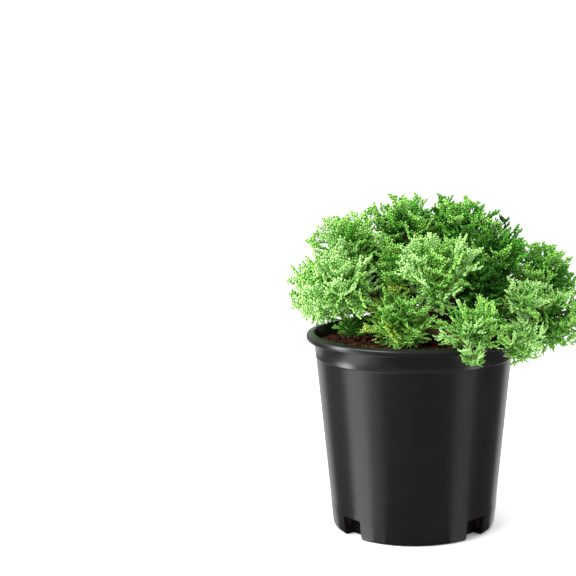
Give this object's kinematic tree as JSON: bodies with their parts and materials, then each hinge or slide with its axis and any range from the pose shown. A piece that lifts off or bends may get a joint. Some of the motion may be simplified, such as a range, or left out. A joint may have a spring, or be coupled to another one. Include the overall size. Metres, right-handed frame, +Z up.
{
  "type": "potted green mound juniper",
  "caption": "Low mounded evergreen shrub with scale-like green needles in a round tapered black nursery pot with rolled lip, drain notches and bark mix.",
  "frame": {"origin": "centre of the pot's flat underside", "axes": "+Z up, -Y towards the front that the picture shows, +X to its right"},
  "size_m": [0.377, 0.3197, 0.4029],
  "materials": {
    "black_pot_plastic": "satin black blow-moulded plastic",
    "bark_mix": "loose shredded bark",
    "juniper_bark": "rough flaking bark",
    "young_juniper_wood": "thin young bark",
    "juniper_needles": "matt waxy scale needles"
  },
  "bodies": {
    "root": {"pot": "black_pot_plastic", "potting_mix": "bark_mix", "trunk": "juniper_bark", "bough_crown_left": "young_juniper_wood", "bough_crown_right": "young_juniper_wood", "bough_left_upper": "young_juniper_wood", "bough_left_lower": "young_juniper_wood", "bough_left_middle": "young_juniper_wood", "bough_left_sprig": "young_juniper_wood", "bough_front_upper": "young_juniper_wood", "bough_front_low": "young_juniper_wood", "bough_front_drape": "young_juniper_wood", "bough_front_sprig": "young_juniper_wood", "bough_right_upper": "young_juniper_wood", "bough_right_middle": "young_juniper_wood", "bough_right_tuft": "young_juniper_wood", "bough_right_drape": "young_juniper_wood", "bough_right_lower": "young_juniper_wood", "bough_far_right": "young_juniper_wood", "bough_back_left": "young_juniper_wood", "bough_back_middle": "young_juniper_wood", "bough_back_right": "young_juniper_wood", "bough_back_low_left": "young_juniper_wood", "bough_back_low_right": "young_juniper_wood", "bough_far_back_right": "young_juniper_wood", "bough_far_left": "young_juniper_wood", "foliage_crown_left": "juniper_needles", "foliage_crown_right": "juniper_needles", "foliage_left_upper": "juniper_needles", "foliage_left_lower": "juniper_needles", "foliage_left_middle": "juniper_needles", "foliage_left_sprig": "juniper_needles", "foliage_front_upper": "juniper_needles", "foliage_front_low": "juniper_needles", "foliage_front_drape": "juniper_needles", "foliage_front_sprig": "juniper_needles", "foliage_right_upper": "juniper_needles", "foliage_right_middle": "juniper_needles", "foliage_right_tuft": "juniper_needles", "foliage_right_drape": "juniper_needles", "foliage_right_lower": "juniper_needles", "foliage_far_right": "juniper_needles", "foliage_back_left": "juniper_needles", "foliage_back_middle": "juniper_needles", "foliage_back_right": "juniper_needles", "foliage_back_low_left": "juniper_needles", "foliage_back_low_right": "juniper_needles", "foliage_far_back_right": "juniper_needles", "foliage_far_left": "juniper_needles"}
  },
  "joints": []
}
